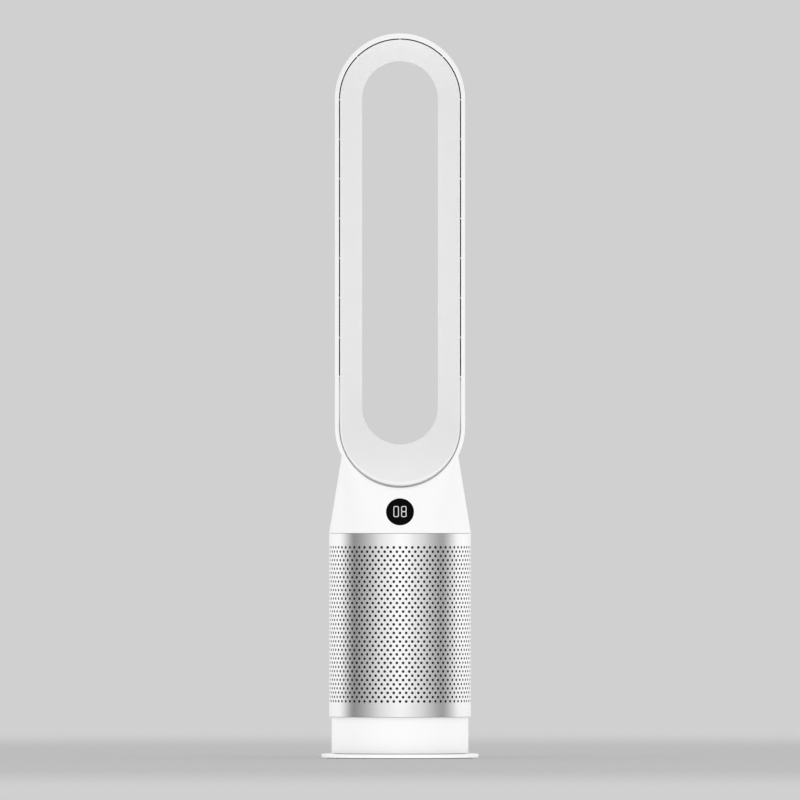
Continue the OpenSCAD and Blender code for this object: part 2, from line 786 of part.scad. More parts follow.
module air_duct() {
  color("lightgray")
  translate([0, 0, bucket_top])
  rotate_extrude($fn = round_fn) polygon([
    [bucket_r - bucket_wall, 0], [bucket_r, 0], [bucket_r, neck_z - bucket_top],
    [duct_top_r, neck_z - bucket_top + duct_rise],
    [duct_top_r - bucket_wall, neck_z - bucket_top + duct_rise],
    [bucket_r - bucket_wall, neck_z - bucket_top]]);
}

// The neck and the air loop
module neck_housing() {
  color("white")
  difference() {
    neck_form(0, 0);
    neck_form(neck_wall, overrun);
    slot_mouth();
    at_display() {
      translate([0, 0, -window_t - window_sunk])
        cylinder(d = display_d + 2 * slip, h = window_t + 3 * overrun, $fn = small_fn);
      translate([0, 0, -neck_wall * 3])
        cylinder(d = display_d - 2 * window_lip, h = neck_wall * 4, $fn = small_fn);
    }
  }
}
// Everything in front of the loop's slot, cut out of the neck's front wall with its edge bevelled
function mouth_edge() =
  let (over = bevel_over_share - bevel_start_share, growth = 1 + bevel_start_share)
  [[slot_out, bevel_d * -bevel_start_share - half_loop, loop_high_z, loop_low_z, 0, bevel_d * growth],
   [slot_out + bevel_w * over, -half_loop - bevel_d * bevel_over_share, loop_high_z, loop_low_z,
    bevel_w * growth, 0]];
module slot_mouth() {
  n = arc_steps + 1;
  edges = [for (p = mouth_edge()) [for (s = arc_stations(180, false)) loop_point(p, s)]];
  points = concat([for (p = edges[0]) [p[0], 0, p[2]]], edges[0], edges[1],
    [for (p = edges[1]) [p[0], -2 * shroud_r, p[2]]]);
  sides = [for (i = [0:2]) for (j = [0:n - 1]) let (a = i * n + j, b = i * n + (j + 1) % n)
    for (f = [[a, b + n, b], [a, a + n, b + n]]) f];
  polyhedron(points, concat(sides, [[for (j = [0:n - 1]) j], [for (j = [n - 1:-1:0]) 3 * n + j]]));
}
module loop_shell() {
  color("white")
  difference() {
    loop_sweep(shell_profile(), loop_stations, true);
    translate([-loop_r, -shroud_r, neck_z]) cube([2 * loop_r, 2 * shroud_r, neck_h]);
  }
}
module loop_face() {
  color("whitesmoke") loop_sweep(face_profile(), loop_stations, true);
}
module loop_gasket() {
  color("silver")
  loop_sweep(strip_profile(
    hole_r + slip, hole_r + face_wall, throat_y - gasket_t, throat_y, hole_low_z, loop_high_z),
    loop_stations, true);
}
module slot_seal() {
  color("lightgray")
  loop_sweep(strip_profile(slot_in + slip, slot_out - slip,
    seal_inset - half_loop, seal_inset + seal_depth - half_loop, loop_low_z, slot_high_z),
    seal_stations, false);
}
module spacer() {
  translate([slot_in + slip, spacer_inset - half_loop, -spacer_t / 2])
    cube([slot_w - 4 * slip, spacer_depth, spacer_t]);
}
module slot_spacers() {
  color("white") {
    for (side = [0, 1]) mirror([side, 0, 0]) for (k = [0:spacer_count])
      translate([0, 0, slot_high_z - k * spacer_pitch + (k == spacer_count ? spacer_t / 2 : 0)]) spacer();
    translate([0, 0, slot_high_z]) for (a = [45, 90, 135]) rotate([0, -a, 0]) spacer();
  }
}

// The display, let into the front slope of the neck
module at_display() {
  translate([0, display_y, display_z]) rotate([90 - display_tilt, 0, 0]) children();
}
module display_window() {
  color("black")
  at_display() translate([0, 0, -window_t - window_sunk])
    cylinder(d = display_d, h = window_t, $fn = small_fn);
}
module digit(middle_bar) {
  difference() {
    square([digit_w, digit_h]);
    translate([digit_stroke, digit_stroke]) square([digit_w - 2 * digit_stroke, digit_h - 2 * digit_stroke]);
  }
  if (middle_bar) translate([0, (digit_h - digit_stroke) / 2]) square([digit_w, digit_stroke]);
}
module display_digits() {
  color("white")
  at_display() translate([0, 0, -window_sunk]) linear_extrude(digit_t) {
    translate([-digit_gap / 2 - digit_w, -digit_h / 2]) digit(false);
    translate([digit_gap / 2, -digit_h / 2]) digit(true);
  }
}
module display_board() {
  color("seagreen")
  at_display() {
    translate([-lamp_board / 2, -lamp_board / 2, -window_sunk - window_t - lamp_board_gap])
      cube([lamp_board, lamp_board, board_t]);
    for (x = [-1, 1]) for (y = [-1, 1])
      translate([x * (lamp_board / 2 - lamp_leg_r) / sqrt(2), y * (lamp_board / 2 - lamp_leg_r) / sqrt(2),
        -window_sunk - window_t - lamp_board_gap])
        cylinder(r = lamp_leg_r, h = lamp_board_gap, $fn = small_fn);
  }
}

base_plate();
foot_ring();
ballast_plate();
pivot_post();
sun_gear();
glide_washer();
post_cap();
base_screws();
cord_gland();
column_skirt();
turntable();
oscillation_motor();
control_board();
column_screws();
pinion();
left_release_button();
left_button_spring();
right_release_button();
right_button_spring();
power_button();
power_button_spring();
drum_floor();
filter_cage();
drum_top_ring();
front_shroud();
front_filter_frame();
front_hepa_pleats();
rear_shroud();
rear_filter_frame();
rear_hepa_pleats();
front_carbon_filter();
rear_carbon_filter();
inlet_grille();
motor_bucket();
impeller();
rotor_shaft();
motor_bearings();
fan_motor();
diffuser_vanes();
isolator_ring();
air_duct();
neck_housing();
loop_shell();
loop_face();
loop_gasket();
slot_spacers();
slot_seal();
display_window();
display_digits();
display_board();
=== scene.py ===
"""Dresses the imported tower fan: mouldings, perforated shrouds, a lit display, a pale studio."""

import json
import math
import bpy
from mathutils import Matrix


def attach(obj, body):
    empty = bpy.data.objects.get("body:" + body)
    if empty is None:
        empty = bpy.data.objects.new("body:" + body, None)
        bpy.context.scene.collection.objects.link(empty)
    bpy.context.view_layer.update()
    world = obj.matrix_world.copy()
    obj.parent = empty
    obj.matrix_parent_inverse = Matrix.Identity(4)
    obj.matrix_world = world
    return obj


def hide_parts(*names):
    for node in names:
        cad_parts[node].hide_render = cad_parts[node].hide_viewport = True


bl_info = {
    "name": "Bladeless tower fan",
    "version": (1, 0, 0),
    "blender": (4, 5, 0),
    "location": "View3D > Sidebar > Tower fan",
    "description": "Models the fan's visible pieces around its packed CAD part",
    "category": "Add Mesh",
}

import bpy
from mathutils import Vector

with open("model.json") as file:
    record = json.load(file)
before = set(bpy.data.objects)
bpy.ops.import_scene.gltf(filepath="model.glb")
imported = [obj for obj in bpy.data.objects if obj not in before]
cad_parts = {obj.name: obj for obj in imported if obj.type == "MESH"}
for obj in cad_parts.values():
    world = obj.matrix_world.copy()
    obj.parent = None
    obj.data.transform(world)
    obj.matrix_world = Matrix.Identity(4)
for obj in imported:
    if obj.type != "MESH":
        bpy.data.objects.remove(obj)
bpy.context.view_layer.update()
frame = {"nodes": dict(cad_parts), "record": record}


# Sizes and colours that a user would change


def length(name, default, tells):
    """A length in metres."""
    return bpy.props.FloatProperty(name=name, description=tells, default=default, min=0.0,
                                   precision=5, unit="LENGTH")


def number(name, default, tells):
    """A plain number."""
    return bpy.props.FloatProperty(name=name, description=tells, default=default, min=0.0)


def count(name, default, tells):
    """A number of like things."""
    return bpy.props.IntProperty(name=name, description=tells, default=default, min=1)


def linear(code):
    """The linear red, green and blue of an sRGB hex value, by the curve of the sRGB standard."""
    parts = [int(code[k:k + 2], 16) / 255 for k in (0, 2, 4)]
    return [p / 12.92 if p <= 0.04045 else ((p + 0.055) / 1.055) ** 2.4 for p in parts]


def colour(name, code, tells):
    """A colour, written as an sRGB hex value."""
    return bpy.props.FloatVectorProperty(name=name, description=tells, default=linear(code),
                                         size=3, min=0, max=1, subtype="COLOR")


class FanHousing(bpy.types.PropertyGroup):
    """Sizes of the loop and the neck."""
    outer_radius: length("Loop radius", 0.0943, "Outer radius of the loop's round ends")
    rim_width: length("Rim width", 0.0058, "Width of the rim outside the air slot")
    rim_depth: length("Rim depth", 0.012, "How far back the rim's rounding runs")
    slot_width: length("Slot width", 0.0016, "Width of the air slot")
    hole_radius: length("Hole radius", 0.055, "Radius of the hole's round ends")
    loop_depth: length("Loop depth", 0.12, "Depth of the loop from front to back")
    wall: length("Wall", 0.0023, "Wall of the loop's shell")
    face_wall: length("Face wall", 0.0022, "Wall of the loop's front face")
    neck_wall: length("Neck wall", 0.0025, "Wall of the neck")
    drum_radius: length("Neck radius", 0.1027, "Radius of the neck where it meets the shrouds")
    neck_low: length("Neck's foot", 0.3262, "Height of the neck's lower edge")
    neck_top: length("Neck's top", 0.4382, "Height at which the neck ends in the loop")
    flare_top: length("Flare's top", 0.5472, "Height at which the loop starts to grow deeper")
    low_centre: length("Lower centre", 0.4802, "Height of the lower round end's centre")
    high_centre: length("Upper centre", 0.9557, "Height of the upper round end's centre")
    hole_raise: length("Hole's raise", 0.0293, "Rise of the hole's lower end over the loop's")
    lip: length("Lip", 0.0015, "Rounding of the face's edge along the slot")
    groove: length("Groove", 0.0045, "Growth of the groove's rounding round the loop's bottom")


class FanShrouds(bpy.types.PropertyGroup):
    """Sizes of the two perforated shrouds."""
    radius: length("Radius", 0.1027, "Outer radius of the shrouds")
    sheet: length("Sheet", 0.0012, "Thickness of the perforated sheet")
    low: length("Lower edge", 0.06, "Height of the shrouds' lower edge")
    height: length("Height", 0.2656, "Height of the shrouds")
    hole: length("Hole", 0.0040, "Diameter of one hole")
    row_pitch: length("Row pitch", 0.00619, "Height between two rows of holes")
    rows: count("Rows", 37, "Rows of holes")
    rise: length("Rise", 0.0014, "How far the middle row sits above the middle of the sheet")
    columns: count("Columns", 35, "Holes in a full row of one shroud")
    around: count("Holes around", 72, "Holes that a full turn would have")
    seam: length("Seam", 0.0026, "Half of the gap between the two shrouds")


class FanDisplay(bpy.types.PropertyGroup):
    """Sizes of the display."""
    diameter: length("Diameter", 0.0404, "Diameter of the window")
    digit_height: length("Digit height", 0.0164, "Height of a digit")
    digit_width: length("Digit width", 0.0078, "Width of a digit")
    digit_gap: length("Digit gap", 0.0034, "Gap between the digits")
    digit_rise: length("Digit rise", 0.0004, "Rise of the digits over the window's middle")
    stroke: length("Stroke", 0.0012, "Width of a digit's stroke")


class FanColours(bpy.types.PropertyGroup):
    """Colours of what is seen from outside."""
    housing: colour("Housing", "F2F2F2", "Moulded housing, base plate and column")
    # The face's white is a little darker than the housing's: painted shade for its ramp
    face: colour("Face", "ECECEC", "Front face of the loop")
    metal: colour("Shrouds", "F0F0F0", "Perforated sheet")
    rubber: colour("Rubber", "2A2A2B", "Foot ring and gland")
    seal: colour("Seal", "C8C8C8", "Seal in the closed part of the slot")
    glass: colour("Glass", "050506", "Display window")
    digits: colour("Digits", "FAFAFA", "Lit digits")


class FanStudio(bpy.types.PropertyGroup):
    """Light, floor, backdrop and camera."""
    backdrop: colour("Backdrop", "D0D0D0", "Background behind the floor")
    floor: colour("Floor", "BFBFBF", "Pale floor, as it is seen")
    bounce: colour("Bounce", "F2F2F2", "Tone of the light that the floor throws back")
    floor_radius: length("Floor radius", 4.0, "Where the floor has faded into the background")
    surroundings: number("Surroundings", 1.13, "Strength of the soft light from all round")
    behind: number("Behind", 0.68, "Share of that strength that comes from behind")
    mirrored: number("Mirrored", 1.8, "Strength of the backdrop as metal shows it")
    glow: number("Glow", 0.44, "Strength of the floor's own light, as of a light table")
    key: number("Key", 8.5, "Watts of the large lamp in front")
    distance: length("Distance", 50.0, "Distance of the camera")
    width: length("Width", 1.16, "Width that the picture takes in")
    level: length("Level", 0.519, "Height of the camera")


def sizes(name):
    """One of the scene's groups of sizes."""
    return getattr(bpy.context.scene, "fan_" + name)


# Modelling helpers

# Metres within which a piece's points are merged, and those of an array's copies
MERGE = 1e-6
WELD = MERGE * 10
# Degrees from which an edge is sharp, and up to which two CAD faces count as one
SHARP = 30
FLAT = 0.5
# Bevel in metres of an edge that is only softened
SOFT = 0.0003


def alone(*pieces):
    """Selects nothing but the given pieces, the first one active."""
    bpy.ops.object.select_all(action="DESELECT")
    for piece in pieces:
        piece.select_set(True)
    bpy.context.view_layer.objects.active = pieces[0]


def start(add, name, **settings):
    """Adds a primitive with nothing else selected and names it."""
    bpy.ops.object.select_all(action="DESELECT")
    add(**settings)
    piece = bpy.context.active_object
    piece.name = piece.data.name = name
    return piece


def place(piece, points):
    """Moves a piece's points to the given places, in their order."""
    piece.data.vertices.foreach_set("co", [c for p in points for c in p])
    piece.data.update()
    return piece


def edit(piece, *steps):
    """Runs steps in edit mode, each a call and its settings, on all of the piece."""
    alone(piece)
    bpy.ops.object.mode_set(mode="EDIT")
    bpy.ops.mesh.select_all(action="SELECT")
    for call, settings in steps:
        call(**settings)
    bpy.ops.object.mode_set(mode="OBJECT")
    return piece


def extrusion(x, y, z):
    """The step of an edit that extrudes by an offset."""
    return bpy.ops.mesh.extrude_region_move, {"TRANSFORM_OT_translate": {"value": (x, y, z)}}


OUTWARD = (bpy.ops.mesh.normals_make_consistent, {"inside": False})


def outward(piece):
    """Merges the piece's doubles and turns its faces outwards."""
    return edit(piece, (bpy.ops.mesh.remove_doubles, {"threshold": MERGE}), OUTWARD)


def modify(piece, kind, **settings):
    """Adds a modifier with its settings and applies it."""
    alone(piece)
    bpy.ops.object.modifier_add(type=kind)
    modifier = piece.modifiers[-1]
    for key, value in settings.items():
        setattr(modifier, key, value)
    bpy.ops.object.modifier_apply(modifier=modifier.name)
    return piece


def smooth(piece):
    """Shades the piece smooth across edges that are not sharp, the large faces leading."""
    alone(piece)
    bpy.ops.object.shade_smooth_by_angle(angle=math.radians(SHARP))
    return modify(piece, "WEIGHTED_NORMAL", keep_sharp=True)


def combine(piece, other, operation):
    """Takes another piece's shape out of a piece or adds it, and deletes the other."""
    modify(piece, "BOOLEAN", object=other, operation=operation, solver="EXACT")
    bpy.data.objects.remove(other)
    return piece


def array(piece, copies, offset):
    """Repeats a piece at an offset, its copies welded to each other."""
    return modify(piece, "ARRAY", count=copies, use_relative_offset=False,
                  use_constant_offset=True, constant_offset_displace=offset,
                  use_merge_vertices=True, merge_threshold=WELD)


def join(piece, other):
    """Makes another piece part of a piece."""
    alone(piece, other)
    bpy.ops.object.join()
    return piece


def pull(piece, axis, at, near, distance):
    """Extrudes along an axis the edges whose two ends lie near a place on that axis."""
    alone(piece)
    bpy.ops.object.mode_set(mode="EDIT")
    bpy.ops.mesh.select_all(action="DESELECT")
    bpy.ops.object.mode_set(mode="OBJECT")
    mesh = piece.data
    for vertex in mesh.vertices:
        vertex.select = abs(vertex.co[axis] - at) < near
    for edge in mesh.edges:
        edge.select = all(mesh.vertices[k].select for k in edge.vertices)
    offset = [0.0, 0.0, 0.0]
    offset[axis] = distance
    extrude, settings = extrusion(*offset)
    bpy.ops.object.mode_set(mode="EDIT")
    bpy.ops.mesh.select_mode(type="EDGE")
    extrude(**settings)
    bpy.ops.mesh.select_mode(type="VERT")
    bpy.ops.object.mode_set(mode="OBJECT")


def double(piece, name):
    """A second copy of a piece with its own mesh."""
    alone(piece)
    bpy.ops.object.duplicate(linked=False)
    copy = bpy.context.active_object
    copy.name = copy.data.name = name
    return copy


def shift(piece, offset):
    """Moves a piece's mesh, not its object."""
    return edit(piece, (bpy.ops.transform.translate, {"value": offset}))


def refine(node, name, bevel=0.0):
    """Stands in for a CAD node: the same shape, its doubles merged and its edges softened."""
    source = frame["nodes"][node]
    piece = bpy.data.objects.new(name, source.data.copy())
    bpy.context.scene.collection.objects.link(piece)
    edit(piece, (bpy.ops.mesh.remove_doubles, {"threshold": MERGE}),
         (bpy.ops.mesh.dissolve_limited, {"angle_limit": math.radians(FLAT)}))
    if bevel:
        modify(piece, "BEVEL", width=bevel, segments=2, limit_method="ANGLE",
               angle_limit=math.radians(SHARP))
    return smooth(piece)


def finish_piece(piece, material, body, node):
    """Gives a piece its material and its body, and hides the CAD node that it stands for."""
    piece.data.materials.clear()
    piece.data.materials.append(material)
    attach(piece, body)
    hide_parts(node)


# Materials


def add_node(tree, kind, inputs=None, **settings):
    """Adds one shader node with its settings; an input is a value or the socket that feeds it."""
    made = tree.nodes.new(kind)
    for key, value in settings.items():
        setattr(made, key, value)
    for key, value in (inputs or {}).items():
        if isinstance(value, bpy.types.NodeSocket):
            tree.links.new(value, made.inputs[key])
        else:
            made.inputs[key].default_value = value
    return made


def math_node(tree, operation, *values):
    """The result of an operation on one, two or three values or sockets."""
    return add_node(tree, "ShaderNodeMath", dict(enumerate(values)), operation=operation).outputs[0]


def blank(name):
    """A new material with an empty node tree and its output."""
    material = bpy.data.materials.new(name)
    material.use_nodes = True
    tree = material.node_tree
    tree.nodes.clear()
    output = add_node(tree, "ShaderNodeOutputMaterial")
    return material, tree, output


def noise(tree, where, size_mm, detail=3.0):
    """Noise whose grains are about a size in millimetres."""
    return add_node(tree, "ShaderNodeTexNoise", {
        "Vector": where, "Scale": 1000.0 / size_mm, "Detail": detail}).outputs["Fac"]


def object_place(tree):
    """Where a point lies on its piece."""
    return add_node(tree, "ShaderNodeTexCoord").outputs["Object"]


def spread(tree, value, low=0.0, high=1.0, ends=(0.0, 1.0), curve="LINEAR"):
    """A value that runs between two ends, carried over to the range from low to high."""
    return add_node(tree, "ShaderNodeMapRange", {
        "Value": value, "From Min": ends[0], "From Max": ends[1], "To Min": low, "To Max": high},
        interpolation_type=curve).outputs["Result"]


def mixed(tree, factor, first, second):
    """The first colour where a factor is 0 and the second where it is 1."""
    return add_node(tree, "ShaderNodeMix", {"Factor": factor, "A": first, "B": second},
                    data_type="RGBA").outputs["Result"]


def tinted(tree, factor, base, share):
    """The base colour, darker by up to a share where the factor is low."""
    dark = [c * (1 - share) for c in base]
    return mixed(tree, factor, (*dark, 1), (*base, 1))


def principled(tree, output, relief, **sockets):
    """The surface that a material ends in; an underscore stands for a space in a socket's name."""
    inputs = {key.replace("_", " "): value for key, value in sockets.items()}
    bump = add_node(tree, "ShaderNodeBump", relief).outputs["Normal"]
    shader = add_node(tree, "ShaderNodeBsdfPrincipled", {**inputs, "Normal": bump})
    tree.links.new(shader.outputs["BSDF"], output.inputs["Surface"])


def surface(name, base, rough, patch, grain, depth, shade=0.03, vary=0.05, **sockets):
    """A moulded, cast or pressed surface: faint patches in tone and gloss over a fine grain.

    A patch, a grain and the grain's depth are in millimetres. The patches darken the base by up
    to a share, and vary the roughness by as much up as down.
    """
    material, tree, output = blank(name)
    patches = noise(tree, object_place(tree), patch)
    grains = noise(tree, object_place(tree), grain)
    principled(tree, output, {"Height": grains, "Distance": depth / 1000, "Strength": 1.0},
               Base_Color=tinted(tree, patches, base, shade),
               Roughness=spread(tree, patches, rough - vary, rough + vary), **sockets)
    return material


# Strokes of brushed metal: how far apart they are drawn, coarser than real ones so that they show
# at all, how deep, how much they darken, the roughness between and along them, and how many metres
# of the pattern a radian round the drum takes, which makes them long
STROKE_MM = 1.2
STROKE_DEPTH = 0.00002
STROKE_SHADE = 0.05
STROKE_ROUGH = (0.19, 0.26)
STROKE_SQUEEZE = 0.002


def brushed_aluminium(name, base):
    """Anodised aluminium sheet, brushed round the drum before it was bent.

    The strokes lie along the sheet, so the pattern reads the angle round the drum and the height.
    """
    material, tree, output = blank(name)
    parts = add_node(tree, "ShaderNodeSeparateXYZ", {"Vector": object_place(tree)}).outputs
    angle = math_node(tree, "ARCTAN2", parts["Y"], parts["X"])
    along = math_node(tree, "MULTIPLY", angle, STROKE_SQUEEZE)
    strokes_at = add_node(tree, "ShaderNodeCombineXYZ", {"X": along, "Z": parts["Z"]})
    strokes = noise(tree, strokes_at.outputs["Vector"], STROKE_MM, detail=4.0)
    principled(tree, output, {"Height": strokes, "Distance": STROKE_DEPTH, "Strength": 0.6},
               Base_Color=tinted(tree, strokes, base, STROKE_SHADE), Metallic=1.0,
               Roughness=spread(tree, strokes, *STROKE_ROUGH))
    return material


def metal(name, code, rough, grain=2.0):
    """Plated or ground steel with faint patches in its gloss."""
    return surface(name, linear(code), rough, patch=12, grain=grain, depth=0.002,
                   shade=0.05, Metallic=1.0)


# The housing: loop and neck. A profile's point is a radius, a depth, the heights of the upper and
# the lower arc's centre, and how far the groove round the loop's bottom moves it out and back.

# How much lower the slot's upper end sits than the rim's, which makes the rim wider at the top
SLOT_DROP = 0.0016
# Depths from the loop's middle: of the start of the rounding at its back and of that at the
# throat's rear edge, and of the place where the ramp has turned into the throat
REAR_Y = 0.010
THROAT_Y = 0.036
THROAT_BEND_Y = 0.022
# Gap for the gasket between the face and the shell, and how far back the face's edge reaches
GASKET = 0.0008
FACE_FLANGE = 0.012
# Steps of the roundings of the rim, the back, the throat's rear edge and the face's lip
RIM_STEPS, REAR_STEPS, THROAT_STEPS, LIP_STEPS = 10, 16, 12, 8
# Steps of a half circle of the loop, also used for the window's hole, and of a leg
ARC_STEPS, LEG_STEPS = 96, 10
# How far the box reaches that cuts the loop off at the neck, in radii of the drum
BOX_REACH = 1.2


def half_depth(s, z):
    """Half the housing's depth at a height: level on the legs, flaring down to the round drum."""
    half = s.loop_depth / 2
    flare = s.flare_top - s.neck_top
    bend = (s.drum_radius - half) / (flare * (flare + 2 * (s.neck_top - s.neck_low)))
    if z >= s.flare_top:
        return half
    if z >= s.neck_top:
        return half + bend * (s.flare_top - z) ** 2
    return half + bend * flare ** 2 + 2 * bend * flare * (s.neck_top - z)


def slot_edges(s):
    """Outer and inner radius of the air slot."""
    outer = s.outer_radius - s.rim_width
    return outer, outer - s.slot_width


def groove_share(s, z):
    """How far down the groove a height lies, from 0 at the neck's top to 1 at the loop's bottom."""
    lowest = s.low_centre - slot_edges(s)[1]
    return max(0.0, min(1.0, (s.neck_top - z) / (s.neck_top - lowest)))


def centre_radius(s):
    """Radius of the line along the loop's back, midway between its outside and the hole."""
    return (s.outer_radius + s.hole_radius) / 2


def rim_point(s, a, inset):
    """A point of the rim's rounding, at an angle and an inset from the outside."""
    outer = slot_edges(s)[0]
    return (outer + (s.rim_width - inset) * math.cos(a),
            s.rim_depth - s.loop_depth / 2 + (s.rim_depth - inset) * math.sin(a),
            s.high_centre - SLOT_DROP + SLOT_DROP * math.cos(a), s.low_centre, 0, 0)


def rear_point(s, a, inset):
    """A point of the rounding from the loop's side to its back."""
    back = centre_radius(s)
    back_low = s.neck_top + back
    return (back + (s.outer_radius - back - inset) * math.cos(a),
            REAR_Y + (s.loop_depth / 2 - REAR_Y - inset) * math.sin(a),
            s.high_centre, back_low + (s.low_centre - back_low) * math.cos(a), 0, 0)


def throat_point(s, a, inset):
    """A point of the rounding from the loop's back into the throat."""
    back = centre_radius(s)
    back_low = s.neck_top + back
    return (back + (back - s.hole_radius - inset) * math.cos(a),
            THROAT_Y + (s.loop_depth / 2 - THROAT_Y - inset) * math.sin(a),
            s.high_centre, back_low - (s.low_centre + s.hole_raise - back_low) * math.cos(a), 0, 0)


def turns(first, last, steps, skip=0):
    """Angles in radians between two angles in degrees, in equal steps, the first few left out."""
    return [math.radians(first + (last - first) * k / steps) for k in range(skip, steps + 1)]


def shell_profile(s):
    """Outline of the shell's wall: the rim, the side, the back and the throat's edge."""
    def side(inset):
        return ([rim_point(s, a, inset) for a in turns(270, 360, RIM_STEPS)]
                + [rear_point(s, a, inset) for a in turns(0, 90, REAR_STEPS)]
                + [throat_point(s, a, inset) for a in turns(90, 180, THROAT_STEPS, 1)])
    return side(0) + side(s.wall)[::-1]


def face_point(s, r, y, out=0.0, back=0.0):
    """A point of the face; its arcs' centres move from the slot's to the hole's with its radius."""
    inner = slot_edges(s)[1]
    share = (inner - r) / (inner - s.hole_radius)
    return (r, y, s.high_centre - SLOT_DROP * (1 - share), s.low_centre + s.hole_raise * share,
            out, back)


def face_profile(s):
    """Outline of the face's wall: a lip at the slot, the ramp, the throat and the inside."""
    inner, half, wall, lip = slot_edges(s)[1], s.loop_depth / 2, s.face_wall, s.lip
    hole = s.hole_radius
    lips = [face_point(s, inner - lip * (1 - math.cos(a)), lip * (1 - math.sin(a)) - half,
                       s.groove * (math.cos(a) - 1), s.groove * (1 - math.sin(a)))
            for a in turns(0, 90, LIP_STEPS)]
    # The ramp's foot, rounded over three points, the throat's end, and back along the inside
    bend = [(hole + wall / 2, THROAT_BEND_Y - 2 * wall),
            (hole + wall / 10, THROAT_BEND_Y - wall / 4),
            (hole, THROAT_BEND_Y + wall), (hole, THROAT_Y - GASKET),
            (hole + wall, THROAT_Y - GASKET), (hole + wall, THROAT_BEND_Y + wall),
            (inner - wall, lip + s.groove + 2 * wall - half), (inner - wall, FACE_FLANGE - half)]
    edge = face_point(s, inner, FACE_FLANGE - half)
    return [edge] + lips + [face_point(s, *p) for p in bend]


def loop_stations(s):
    """Stations round the oblong: angle, upper end or not, goal of a leg's share, and that share."""
    shares = [k / LEG_STEPS for k in range(1, LEG_STEPS + 1)]
    upper = [(a, True, 0.0, 0.0) for a in turns(0, 180, ARC_STEPS)]
    return (upper + [(math.pi, False, s.flare_top, t) for t in shares[::-1]]
            + lower_stations() + [(0.0, False, s.flare_top, t) for t in shares])


def lower_stations():
    """Stations round the oblong's lower half circle."""
    return [(a, False, 0.0, 0.0) for a in turns(180, 360, ARC_STEPS)]


def loop_point(s, p, station):
    """Where a profile's point lies at a station."""
    r, y, high, low, out, back = p
    angle, upper, goal, share = station
    centre = high if upper else low
    z = centre + r * math.sin(angle)
    growth = groove_share(s, z + share * (goal - centre))
    r += growth * out
    z = centre + r * math.sin(angle) + share * (goal - centre)
    return r * math.cos(angle), (y + growth * back) * half_depth(s, z) / (s.loop_depth / 2), z


def sweep(name, profile, stations, rule):
    """A closed tube: a torus whose sections take a profile's shape at each station."""
    tube = start(bpy.ops.mesh.primitive_torus_add, name, major_segments=len(stations),
                 minor_segments=len(profile))
    place(tube, [rule(p, station) for station in stations for p in profile])
    return outward(tube)


class FAN_OT_loop(bpy.types.Operator):
    """Models the air loop: its outer shell, cut off at the neck, and its front face"""
    bl_idname = "fan.loop"
    bl_label = "Air loop"

    def execute(self, context):
        s = sizes("housing")

        def rule(p, station):
            return loop_point(s, p, station)

        shell = sweep("loop_outer_shell", shell_profile(s), loop_stations(s), rule)
        half = s.drum_radius * BOX_REACH
        box = start(bpy.ops.mesh.primitive_cube_add, "below_loop", size=1,
                    location=(0, 0, (s.neck_low + s.neck_top) / 2),
                    scale=(2 * half, 2 * half, s.neck_top - s.neck_low))
        combine(shell, box, "DIFFERENCE")
        finish_piece(smooth(shell), housing_plastic(), "tower", "loop_shell")
        face = sweep("loop_front_face", face_profile(s), loop_stations(s), rule)
        finish_piece(smooth(face), face_plastic(), "tower", "loop_face")
        return {"FINISHED"}


# Sections of the neck's wall round the drum, the first of them off the axis by some degrees,
# the rows of faces up the wall, and the far finer steps of the outline that the sections end on
NECK_SECTIONS = 240
NECK_FIRST = 0.3
NECK_ROWS = 12
OUTLINE_STEPS = 600
# Height of the display's middle above the neck's foot, clearance round its window in the neck,
# and the depth of the cutter for that hole
DISPLAY_LEVEL = 0.031
WINDOW_FIT = 0.00005
WINDOW_CUT = 0.02
# Bevel of the neck's edge along the groove, and the shares of it by which its cutter goes on in
# front and starts early behind
BEVEL_WIDTH, BEVEL_DEPTH = 0.0034, 0.0016
BEVEL_OVER, BEVEL_EARLY = 0.4, 0.1


def neck_top_point(s, p):
    """Where the loop's section at the neck's top has a profile's point."""
    r, y, low = p[0], p[1], p[3]
    return (math.sqrt(max(0.0, r ** 2 - (low - s.neck_top) ** 2)),
            y * half_depth(s, s.neck_top) / (s.loop_depth / 2))


def neck_outline(s):
    """The loop's own outline at the neck's top, all the way round."""
    right = [neck_top_point(s, rim_point(s, a, 0)) for a in turns(270, 360, OUTLINE_STEPS)]
    right += [neck_top_point(s, rear_point(s, a, 0)) for a in turns(0, 90, OUTLINE_STEPS // 2)]
    return right + [(-x, y) for x, y in right[::-1]]


class FAN_OT_neck(bpy.types.Operator):
    """Models the neck: a wall from the round drum to the loop, open for the slot and the display"""
    bl_idname = "fan.neck"
    bl_label = "Neck"

    def execute(self, context):
        s = sizes("housing")
        outline = neck_outline(s)
        stations = []
        last = NECK_FIRST + 360 - 360 / NECK_SECTIONS
        for turn in turns(NECK_FIRST, last, NECK_SECTIONS - 1):
            nx, ny = math.cos(turn), math.sin(turn)
            stations.append((nx, ny, *max(outline, key=lambda q: q[0] * nx + q[1] * ny)))

        def rule(p, station):
            share, inset = p
            nx, ny, x, y = station
            low = s.drum_radius * (1 - share)
            return (nx * (low - inset) + x * share, ny * (low - inset) + y * share,
                    s.neck_low + (s.neck_top - s.neck_low) * share)

        rows = [k / NECK_ROWS for k in range(NECK_ROWS + 1)]
        profile = [(t, 0.0) for t in rows] + [(t, s.neck_wall) for t in rows[::-1]]
        neck = sweep("neck_cover", profile, stations, rule)
        combine(neck, slot_mouth(s), "DIFFERENCE")
        window = start(bpy.ops.mesh.primitive_cylinder_add, "window_hole", vertices=ARC_STEPS,
                       radius=sizes("display").diameter / 2 + WINDOW_FIT, depth=WINDOW_CUT)
        combine(neck, at_display(window), "DIFFERENCE")
        finish_piece(smooth(neck), housing_plastic(), "tower", "neck_housing")
        return {"FINISHED"}


